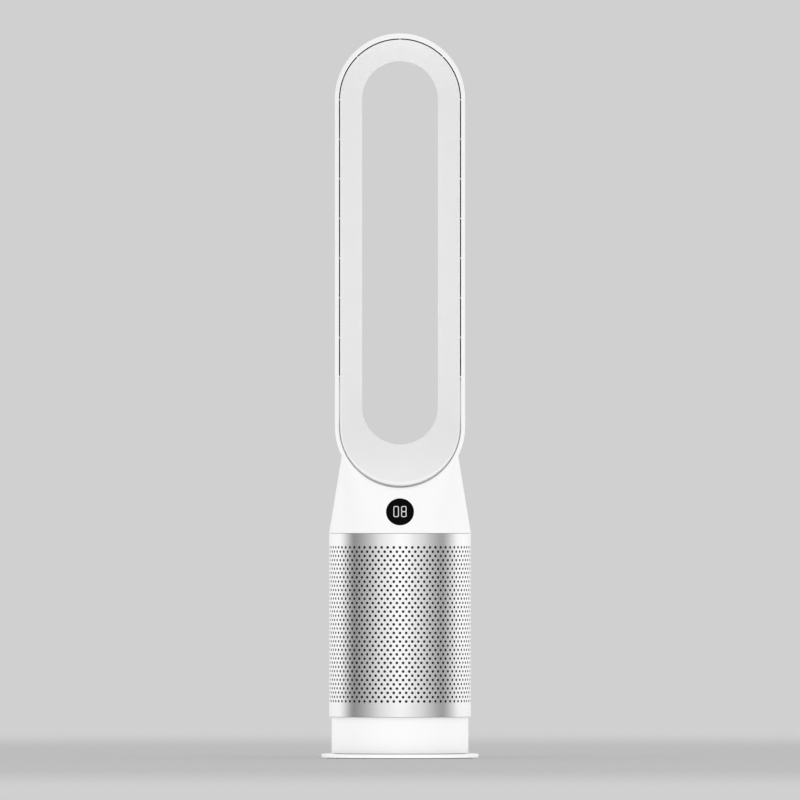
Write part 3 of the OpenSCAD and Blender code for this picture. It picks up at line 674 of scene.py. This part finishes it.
def slot_mouth(s):
    """Cutter for everything in front of the slot, its edge bevelled along the groove."""
    outer, half = slot_edges(s)[0], s.loop_depth / 2
    behind = (outer, -BEVEL_DEPTH * BEVEL_EARLY - half, s.high_centre, s.low_centre,
              0, BEVEL_DEPTH * (1 + BEVEL_EARLY))
    front = (outer + BEVEL_WIDTH * (BEVEL_OVER - BEVEL_EARLY), -half - BEVEL_DEPTH * BEVEL_OVER,
             s.high_centre, s.low_centre, BEVEL_WIDTH * (1 + BEVEL_EARLY), 0)
    stations = lower_stations()
    rings = [[loop_point(s, p, station) for station in stations] for p in (behind, front)]
    rings = [[(x, 0.0, z) for x, y, z in rings[0]], *rings,
             [(x, -2 * s.drum_radius, z) for x, y, z in rings[1]]]
    corners = len(stations)
    mouth = start(bpy.ops.mesh.primitive_circle_add, "slot_mouth", vertices=corners, radius=1,
                  fill_type="NGON")
    edit(mouth, *[extrusion(0, 0, 1)] * 3)
    first = mouth.data.vertices[0].co.copy()
    first_angle = math.atan2(first.y, first.x)

    def spot(v):
        """A point's place: its height picks the ring, its angle the station."""
        turn = (math.atan2(v.co.y, v.co.x) - first_angle) / (2 * math.pi) * corners
        return rings[round(v.co.z)][round(turn) % corners]

    place(mouth, [spot(v) for v in mouth.data.vertices])
    return outward(mouth)


# The display

# Thickness of the digits and how deep they sit in the window, and the rounding of their corners:
# its share of a digit's width and its steps
DIGIT_THICK = 0.0002
DIGIT_SUNK = 0.0003
CORNER_SHARE = 0.3
CORNER_STEPS = 5


def at_display(piece):
    """Turns and moves a piece's mesh from the origin's flat to the neck's front slope."""
    s = sizes("housing")
    z = s.neck_low + DISPLAY_LEVEL
    slope = (half_depth(s, s.neck_low) - half_depth(s, s.neck_top)) / (s.neck_top - s.neck_low)
    tilt = math.atan(slope)
    across, up = Vector((1, 0, 0)), Vector((0, math.sin(tilt), math.cos(tilt)))
    out = across.cross(up)
    base = Vector((0, -half_depth(s, z), z))
    return place(piece, [base + across * v.co.x + up * v.co.y + out * v.co.z
                         for v in piece.data.vertices])


def rounded_ring(name, centre, wide, high, stroke):
    """A raised ring: a plane whose corners are bevelled and whose middle is inset and taken out."""
    ring = start(bpy.ops.mesh.primitive_plane_add, name, size=1, location=(0, 0, 0))
    place(ring, [(centre[0] + v.co.x * wide, centre[1] + v.co.y * high, 0)
                 for v in ring.data.vertices])
    edit(ring, (bpy.ops.mesh.bevel, {"offset": wide * CORNER_SHARE, "segments": CORNER_STEPS,
                                     "affect": "VERTICES"}),
         (bpy.ops.mesh.inset, {"thickness": stroke, "use_boundary": True}),
         (bpy.ops.mesh.delete, {"type": "ONLY_FACE"}),
         (bpy.ops.mesh.select_all, {"action": "SELECT"}),
         extrusion(0, 0, DIGIT_THICK))
    return outward(ring)


class FAN_OT_display(bpy.types.Operator):
    """Models the display: a black window with a softened edge and two lit digits"""
    bl_idname = "fan.display"
    bl_label = "Display"

    def execute(self, context):
        s = sizes("display")
        glass = refine("display_window", "display_glass", SOFT)
        finish_piece(glass, window_glass(), "tower", "display_window")
        wide, high, stroke = s.digit_width, s.digit_height, s.stroke
        side = (s.digit_gap + wide) / 2
        rise = (high - stroke) / 2
        loop_high = rise + stroke
        zero = rounded_ring("display_zero", (-side, 0), wide, high, stroke)
        upper = rounded_ring("eight_upper", (side, rise / 2), wide, loop_high, stroke)
        # The eight's rings lie a little apart, so that no edges coincide in their union
        apart = stroke / 10
        lower = rounded_ring("eight_lower", (side, -(rise + apart) / 2), wide, loop_high - apart,
                             stroke)
        figures = join(zero, combine(upper, lower, "UNION"))
        figures.name = figures.data.name = "display_figures"
        at_display(shift(figures, (0, s.digit_rise, -DIGIT_SUNK)))
        finish_piece(figures, lit_digits(), "tower", "display_digits")
        return {"FINISHED"}


# The shrouds

# Corners of a hole, and those of the cell's border that they are joined to, in quarters of a cell
CELL_CORNERS = 12
CELL_BORDER = ((2, 0), (2, 2), (1, 2), (0, 2), (-1, 2), (-2, 2), (-2, 0), (-2, -2), (-1, -2),
               (0, -2), (1, -2), (2, -2))
# The axes that a flat sheet's edges are pulled along
ACROSS, UP = 0, 2


def one_cell(s, step):
    """A rectangle of the flat sheet with one round hole."""
    radius = s.hole / 2
    cell = start(bpy.ops.mesh.primitive_circle_add, "cell", vertices=CELL_CORNERS, radius=radius,
                 fill_type="NOTHING")
    corners = turns(0, 360 - 360 / CELL_CORNERS, CELL_CORNERS - 1)
    place(cell, [(radius * math.cos(a), 0, radius * math.sin(a)) for a in corners])
    edit(cell, extrusion(0, 1, 0))

    def spot(v):
        """A point's place: the extruded ones go to the border that faces them."""
        if v.co.y < 0.5:
            return v.co.copy()
        turn = math.atan2(v.co.z, v.co.x) / (2 * math.pi) * CELL_CORNERS
        x, z = CELL_BORDER[round(turn) % CELL_CORNERS]
        return x * step / 4, 0, z * s.row_pitch / 4

    return place(cell, [spot(v) for v in cell.data.vertices])


def perforated_sheet(s, name):
    """One shroud's sheet, still flat: staggered rows of cells, then the plain edges."""
    step = 2 * math.pi * s.radius / s.around
    near = step / 100
    high = s.row_pitch
    cell = one_cell(s, step)

    def row(label, holes, lift):
        cells = array(double(cell, label), holes, (step, 0, 0))
        return shift(cells, (-(holes - 1) * step / 2, 0, lift))

    sheet = row("even_row", s.columns, 0)
    odd = row("odd_row", s.columns - 1, high)
    odd_edge = (s.columns - 1) * step / 2
    for side in (-1, 1):
        for k in (0, 1):
            pull(odd, ACROSS, side * (odd_edge + k * step / 4), near, side * step / 4)
    last = double(sheet, "last_row")
    pairs = s.rows // 2
    array(join(sheet, odd), pairs, (0, 0, 2 * high))
    join(sheet, shift(last, (0, 0, 2 * high * pairs)))
    sheet.name = sheet.data.name = name
    edit(sheet, (bpy.ops.mesh.remove_doubles, {"threshold": WELD}))
    bpy.data.objects.remove(cell)
    edge = s.columns * step / 2
    margin = (math.pi / 2 - math.asin(s.seam / s.radius)) * s.radius - edge
    for side in (-1, 1):
        pull(sheet, ACROSS, side * edge, near, side * margin)
    low, top = -high / 2, high * (s.rows - 0.5)
    band = (s.height - s.rows * high) / 2
    for level, move in ((low, -band - s.rise), (top, band - s.rise)):
        pull(sheet, UP, level, near, move)
    return sheet


def bend(sheet, s, middle):
    """Bends a flat sheet round the drum, its middle at an angle."""
    rise = s.low + s.rise + (s.height - s.rows * s.row_pitch) / 2 + s.row_pitch / 2

    def spot(v):
        a = middle + v.co.x / s.radius
        return s.radius * math.cos(a), s.radius * math.sin(a), v.co.z + rise

    return place(sheet, [spot(v) for v in sheet.data.vertices])


class FAN_OT_shrouds(bpy.types.Operator):
    """Models the two perforated shrouds"""
    bl_idname = "fan.shrouds"
    bl_label = "Shrouds"

    def execute(self, context):
        s = sizes("shrouds")
        front = perforated_sheet(s, "front_perforated_sheet")
        rear = double(front, "rear_perforated_sheet")
        for sheet, middle, body, node in (
                (front, -math.pi / 2, "front_cover", "front_shroud"),
                (rear, math.pi / 2, "rear_cover", "rear_shroud")):
            edit(bend(sheet, s, middle), OUTWARD)
            # An open sheet's faces may all point in, and its thickness always grows inwards
            middle_face = max(sheet.data.polygons, key=lambda f: abs(f.center.y))
            outside = middle_face.normal.y * middle_face.center.y > 0
            modify(sheet, "SOLIDIFY", thickness=s.sheet, offset=-1.0 if outside else 1.0,
                   use_even_offset=True)
            edit(sheet, OUTWARD)
            finish_piece(smooth(sheet), shroud_metal(), body, node)
        return {"FINISHED"}


# The base, the column and their buttons


class FAN_OT_base(bpy.types.Operator):
    """Softens the edges of the base plate, the column and the buttons"""
    bl_idname = "fan.base"
    bl_label = "Base and column"

    def execute(self, context):
        white, seal = ("white_gloss", housing_plastic), ("white_rubber", seal_rubber)
        dark = ("rubber", rubber)
        for node, name, body, (slot, material), bevel in (
                ("base_plate", "base_cover", "base", white, 0.0),
                ("foot_ring", "foot_rubber", "base", dark, SOFT),
                ("cord_gland", "gland_rubber", "base", dark, SOFT),
                ("column_skirt", "column_cover", "tower", white, SOFT),
                ("left_release_button", "left_button_cap", "left_release", white, SOFT),
                ("right_release_button", "right_button_cap", "right_release", white, SOFT),
                ("power_button", "power_button_cap", "power", white, SOFT),
                ("slot_seal", "slot_seal_strip", "tower", seal, 0.0)):
            finish_piece(refine(node, name, bevel), material(), body, node)
        return {"FINISHED"}


# Finishes, each made once

MADE = {}


def once(build):
    """Keeps the material that a function builds and gives the same one each time."""
    def give():
        if build.__name__ not in MADE:
            MADE[build.__name__] = build()
        return MADE[build.__name__]
    return give


@once
def housing_plastic():
    # ABS, injection moulded and polished: faint sink patches and an orange peel 3 mm across
    return surface("polished_abs", sizes("colours").housing, rough=0.31, patch=60, grain=3.0,
                   depth=0.002, shade=0.012, vary=0.02)


@once
def face_plastic():
    # ABS from a satin mould, so that the ramp has a broader, duller sheen than the rim.
    # Its colour is painted shade: the housing's white made a little darker for the ramp
    return surface("satin_abs_with_painted_shade", sizes("colours").face, rough=0.4, patch=60, grain=1.2,
                   depth=0.0012, shade=0.015, vary=0.03)


@once
def shroud_metal():
    # Aluminium sheet, brushed and clear anodised: long faint strokes round the drum
    return brushed_aluminium("brushed_anodised_aluminium", sizes("colours").metal)


@once
def rubber():
    # Moulded rubber: matt, with a 0.8 mm grain and dusty patches
    return surface("moulded_rubber", sizes("colours").rubber, rough=0.75, patch=15,
                   grain=0.8, depth=0.02, shade=0.25, vary=0.08)


@once
def seal_rubber():
    # Soft silicone strip in the closed part of the slot: matt and even
    return surface("silicone_strip", sizes("colours").seal, rough=0.6, patch=20, grain=1.0,
                   depth=0.004, shade=0.04, vary=0.04)


@once
def window_glass():
    # Black acrylic with an anti-glare coat, which takes most of its reflection away
    return surface("black_acrylic", sizes("colours").glass, rough=0.14, patch=30, grain=6.0,
                   depth=0.0005, shade=0.1, vary=0.02, Specular_IOR_Level=0.03)


@once
def lit_digits():
    # Light through smoked, printed figures: even white, and dark grey where no light comes through
    return surface("lit_print", linear("303030"), rough=0.5, patch=8, grain=1.0,
                   depth=0.001, shade=0.05, vary=0.02,
                   Emission_Color=(*sizes("colours").digits, 1), Emission_Strength=0.72)


@once
def steel():
    # Zinc-plated pressed steel
    return metal("zinc_plated_steel", "B9BCC0", rough=0.34)


@once
def bearing_steel():
    # Ground and polished bearing steel
    return metal("ground_steel", "D6D8DA", rough=0.14, grain=0.5)


@once
def grey_plastic():
    # Polypropylene with a fine spark-eroded grain
    return surface("grained_polypropylene", linear("A6A8AC"), rough=0.48, patch=40,
                   grain=0.7, depth=0.012, shade=0.05)


@once
def dark_plastic():
    # Glass-filled nylon, dull with a slightly mottled skin
    return surface("glass_filled_nylon", linear("3A3D41"), rough=0.5, patch=12, grain=0.6,
                   depth=0.015, shade=0.15)


@once
def gear_plastic():
    # Natural acetal, waxy and pale
    return surface("natural_acetal", linear("E9E3D2"), rough=0.35, patch=20, grain=1.0,
                   depth=0.003, shade=0.04)


@once
def filter_plastic():
    # White polypropylene frame round the filter
    return surface("white_polypropylene", linear("E6E6E4"), rough=0.42, patch=40, grain=0.8,
                   depth=0.008)


@once
def filter_paper():
    # Pleated glass-fibre paper: fibres drawn 1.5 mm across so that they show.
    # Its dark slate grey is painted shade, for the dark seen through the shroud's holes
    return surface("glass_fibre_paper_in_painted_shade", linear("3C4147"), rough=0.85, patch=10, grain=1.5,
                   depth=0.08, shade=0.3)


@once
def carbon():
    # Carbon granules of about 2.5 mm in a mesh sleeve
    return surface("carbon_granules", linear("26262A"), rough=0.7, patch=6, grain=2.5,
                   depth=0.6, shade=0.6, vary=0.2)


@once
def circuit_board():
    # Green solder mask over fibreglass
    return surface("solder_mask", linear("1F5A38"), rough=0.4, patch=4, grain=1.0,
                   depth=0.02, shade=0.35, vary=0.1)


FINISHES = {
    "steel": steel, "bearing_steel": bearing_steel, "grey_plastic": grey_plastic,
    "dark_plastic": dark_plastic, "gear_plastic": gear_plastic, "filter_frame": filter_plastic,
    "filter_paper": filter_paper, "carbon": carbon, "circuit_board": circuit_board,
    "rubber": rubber, "white_rubber": seal_rubber, "white_gloss": housing_plastic,
    "light_plastic": face_plastic, "brushed_metal": shroud_metal, "display_glass": window_glass,
    "display_white": lit_digits,
}


class FAN_OT_inside(bpy.types.Operator):
    """Gives every CAD node the finish of its slot"""
    bl_idname = "fan.inside"
    bl_label = "Finishes of the CAD nodes"

    def execute(self, context):
        for part in frame["record"]["subparts"]:
            mesh = frame["nodes"][part["node"]].data
            mesh.materials.clear()
            mesh.materials.append(FINISHES[part["material_slot"]]())
        return {"FINISHED"}


# The stage

# The studio's tone round the object: shares of a full turn, from behind by the left, and tones.
# The two dim sides give the round metal its two dark bands.
SIDE_TONES = ((0.0, 0.8), (0.16, 1.0), (0.19, 1.0), (0.235, 0.6), (0.27, 0.22), (0.33, 0.4),
              (0.41, 0.74), (0.5, 1.0), (0.59, 0.78), (0.66, 0.45), (0.705, 0.3), (0.75, 0.64),
              (0.80, 1.0), (0.86, 1.0), (1.0, 0.8))
# Between which slopes of a direction, up or down, the dim sides end
SIDES_END = (0.25, 0.55)
# Between which shares of a direction's way to the back the light falls off
FALL_OFF = (-0.2, 0.9)
# Between which shares of its radius the floor fades, how far it lies under the part, its corners
FLOOR_FADE = (0.35, 0.98)
FLOOR_DROP = 0.0002
FLOOR_CORNERS = 64
# Where the lamp in front stands, where it points and how wide it is
LAMP_AT = (-1.0, -5.0, 1.1)
LAMP_TARGET = (0, 0, 0.5)
LAMP_SIZE = 6.0


def seen(tree):
    """1 where the camera looks, also by mirror or through glass, and 0 for the light on things."""
    path = add_node(tree, "ShaderNodeLightPath").outputs
    first = math_node(tree, "MAXIMUM", path["Is Camera Ray"], path["Is Glossy Ray"])
    return math_node(tree, "MAXIMUM", first, path["Is Transmission Ray"])


def side_bands(tree, x, y):
    """The studio's tone by direction, dim to the left and the right."""
    ahead = math_node(tree, "MULTIPLY", y, -1.0)
    angle = math_node(tree, "ARCTAN2", x, ahead)
    turn = math_node(tree, "MULTIPLY_ADD", angle, 1 / (2 * math.pi), 0.5)
    ramp = add_node(tree, "ShaderNodeValToRGB", {"Fac": turn})
    elements = ramp.color_ramp.elements
    while len(elements) < len(SIDE_TONES):
        elements.new(0.5)
    for element, (at, tone) in zip(elements, SIDE_TONES):
        element.position = at
        element.color = (tone, tone, tone, 1)
    return ramp.outputs["Color"]


def as_mirrored(tree, tone, strength):
    """1 for all rays but those off a glossy surface, for which it is a tone times a strength."""
    mirrored = math_node(tree, "MULTIPLY", tone, strength)
    glossy = add_node(tree, "ShaderNodeLightPath").outputs["Is Glossy Ray"]
    return add_node(tree, "ShaderNodeMix", {
        "Factor": glossy, "A": 1.0, "B": mirrored}).outputs["Result"]


def studio_world(s):
    """Soft light from all round, weaker from behind and dimmed low at the left and the right.

    What is seen, mirrored or seen through glass is the backdrop's colour. Mirrored, it has the
    same dim sides, and a brighter middle. They end low down, so that they take little light from
    the housing.
    """
    world = bpy.data.worlds.new("soft_studio")
    bpy.context.scene.world = world
    world.use_nodes = True
    tree = world.node_tree
    tree.nodes.clear()
    where = add_node(tree, "ShaderNodeTexCoord").outputs["Generated"]
    parts = add_node(tree, "ShaderNodeSeparateXYZ", {"Vector": where}).outputs
    bands = side_bands(tree, parts["X"], parts["Y"])
    open_sky = spread(tree, math_node(tree, "ABSOLUTE", parts["Z"]), ends=SIDES_END)
    light = mixed(tree, open_sky, bands, (1, 1, 1, 1))
    fall = spread(tree, parts["Y"], s.surroundings, s.surroundings * s.behind, FALL_OFF)
    soft = add_node(tree, "ShaderNodeBackground", {"Color": light, "Strength": fall})
    plain = add_node(tree, "ShaderNodeBackground", {
        "Color": (*s.backdrop, 1), "Strength": as_mirrored(tree, light, s.mirrored)})
    mix = add_node(tree, "ShaderNodeMixShader", {
        0: seen(tree), 1: soft.outputs[0], 2: plain.outputs[0]})
    output = add_node(tree, "ShaderNodeOutputWorld")
    tree.links.new(mix.outputs[0], output.inputs["Surface"])


def studio_floor(s):
    """A round pale floor: it keeps the object's shadow, fades at its edge, is clear from below.

    It adds a soft light of its own, which is seen only by what it falls on. In mirrors it shows
    painted reflection: the studio's dim sides and a brighter middle.
    """
    floor = start(bpy.ops.mesh.primitive_circle_add, "studio_floor", vertices=FLOOR_CORNERS,
                  radius=s.floor_radius, fill_type="NGON", location=(0, 0, -FLOOR_DROP))
    material, tree, output = blank("matt_paper")
    where = object_place(tree)
    parts = add_node(tree, "ShaderNodeSeparateXYZ", {"Vector": where}).outputs
    # Painted reflection: seen in a mirror, the floor takes the studio's dim sides and a brighter
    # middle
    bands = side_bands(tree, parts["X"], parts["Y"])
    floor_with_painted_reflection = add_node(tree, "ShaderNodeVectorMath", {
        0: s.floor, "Scale": as_mirrored(tree, bands, s.mirrored)}, operation="SCALE")
    reach = add_node(tree, "ShaderNodeVectorMath", {0: where}, operation="LENGTH")
    fade = spread(tree, reach.outputs["Value"],
                  ends=[s.floor_radius * share for share in FLOOR_FADE], curve="SMOOTHSTEP")
    tone = mixed(tree, seen(tree), (*s.bounce, 1), floor_with_painted_reflection.outputs["Vector"])
    unseen = math_node(tree, "SUBTRACT", 1.0, seen(tree))
    table = add_node(tree, "ShaderNodeEmission", {
        "Color": (*s.bounce, 1), "Strength": math_node(tree, "MULTIPLY", unseen, s.glow)})
    under = add_node(tree, "ShaderNodeNewGeometry").outputs["Backfacing"]
    matt = add_node(tree, "ShaderNodeBsdfDiffuse", {"Color": tone})
    paper = add_node(tree, "ShaderNodeAddShader", {0: matt.outputs[0], 1: table.outputs[0]})
    clear = add_node(tree, "ShaderNodeBsdfTransparent")
    mix = add_node(tree, "ShaderNodeMixShader", {
        0: math_node(tree, "MAXIMUM", fade, under), 1: paper.outputs[0], 2: clear.outputs[0]})
    tree.links.new(mix.outputs[0], output.inputs["Surface"])
    floor.data.materials.append(material)


def front_lamp(watts):
    """A large soft square lamp in front, aimed at the object."""
    light = bpy.data.lights.new("front_softbox", "AREA")
    light.energy, light.size = watts, LAMP_SIZE
    made = bpy.data.objects.new("front_softbox", light)
    bpy.context.scene.collection.objects.link(made)
    made.location = LAMP_AT
    aim = Vector(LAMP_TARGET) - Vector(LAMP_AT)
    made.rotation_euler = aim.to_track_quat("-Z", "Y").to_euler()


class FAN_OT_camera(bpy.types.Operator):
    """Sets up the camera far away and level, as the photograph was taken"""
    bl_idname = "fan.camera"
    bl_label = "Camera"

    def execute(self, context):
        s = sizes("studio")
        data = bpy.data.cameras.new("camera")
        data.sensor_width = 36.0
        data.lens = data.sensor_width * s.distance / s.width
        data.clip_end = 4 * s.distance
        camera = bpy.data.objects.new("camera", data)
        context.scene.collection.objects.link(camera)
        camera.location = (0.0, -s.distance, s.level)
        camera.rotation_euler = (math.pi / 2, 0, 0)
        context.scene.camera = camera
        return {"FINISHED"}


class FAN_OT_stage(bpy.types.Operator):
    """Sets up the pale floor and the soft studio light"""
    bl_idname = "fan.stage"
    bl_label = "Stage"

    def execute(self, context):
        s = sizes("studio")
        context.scene.view_settings.view_transform = "Standard"
        studio_world(s)
        studio_floor(s)
        front_lamp(s.key)
        return {"FINISHED"}


class FAN_PT_panel(bpy.types.Panel):
    """Lists the fan's pieces in the order that they are made in"""
    bl_label = "Tower fan"
    bl_idname = "FAN_PT_panel"
    bl_space_type = "VIEW_3D"
    bl_region_type = "UI"
    bl_category = "Tower fan"

    def draw(self, context):
        for operator in OPERATORS:
            self.layout.operator(operator.bl_idname)


GROUPS = {"housing": FanHousing, "shrouds": FanShrouds, "display": FanDisplay,
          "colours": FanColours, "studio": FanStudio}
OPERATORS = (FAN_OT_camera, FAN_OT_inside, FAN_OT_loop, FAN_OT_neck, FAN_OT_display,
             FAN_OT_shrouds, FAN_OT_base, FAN_OT_stage)
CLASSES = (*GROUPS.values(), *OPERATORS, FAN_PT_panel)


def register():
    """Registers the classes and the scene's groups of sizes."""
    for made in CLASSES:
        bpy.utils.register_class(made)
    for name, group in GROUPS.items():
        setattr(bpy.types.Scene, "fan_" + name, bpy.props.PointerProperty(type=group))


def unregister():
    """Takes the groups and the classes away."""
    for name in GROUPS:
        delattr(bpy.types.Scene, "fan_" + name)
    for made in reversed(CLASSES):
        bpy.utils.unregister_class(made)


def main():
    """Makes every piece and the stage."""
    register()
    bpy.ops.fan.camera()
    bpy.ops.fan.inside()
    bpy.ops.fan.loop()
    bpy.ops.fan.neck()
    bpy.ops.fan.display()
    bpy.ops.fan.shrouds()
    bpy.ops.fan.base()
    bpy.ops.fan.stage()


if __name__ == "__main__":
    main()
